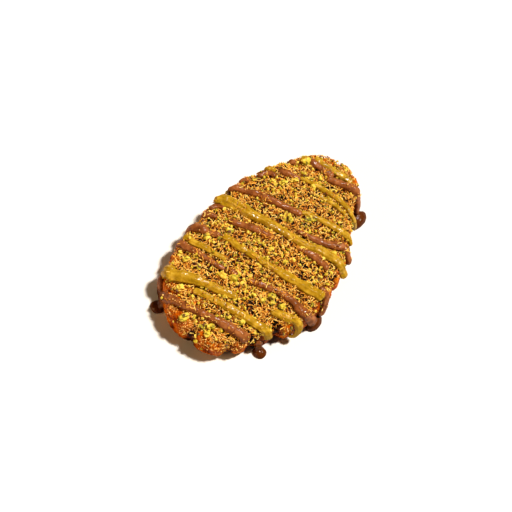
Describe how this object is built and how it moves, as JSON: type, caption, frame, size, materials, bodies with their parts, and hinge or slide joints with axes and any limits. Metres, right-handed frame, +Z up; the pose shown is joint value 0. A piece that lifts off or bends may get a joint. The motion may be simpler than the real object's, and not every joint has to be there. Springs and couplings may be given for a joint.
{
  "type": "croffle",
  "caption": "Oval croissant waffle with a pocketed underside, dressed on top with filo shreds, chopped pistachio and stripes of chocolate sauce and pistachio cream.",
  "frame": {"origin": "middle of the underside's outline box, on the surface that the croffle rests on", "axes": "+Y along the croffle's length towards its pointed end, +X to the right across it, +Z up through the dressed top"},
  "size_m": [0.1024, 0.1616, 0.026],
  "materials": {
    "pastry": "baked, sugared croissant crust, satin, browner on the ridges",
    "chocolate_sauce": "milk-chocolate sauce, smooth and glossy",
    "pistachio_cream": "pistachio cream, thick and glossy, olive yellow",
    "kataifi": "toasted filo threads, matt, straw gold to brown",
    "pistachio": "chopped pistachio, matt, green to ochre with brown skins"
  },
  "bodies": {
    "root": {"croffle": "pastry"}
  },
  "joints": []
}
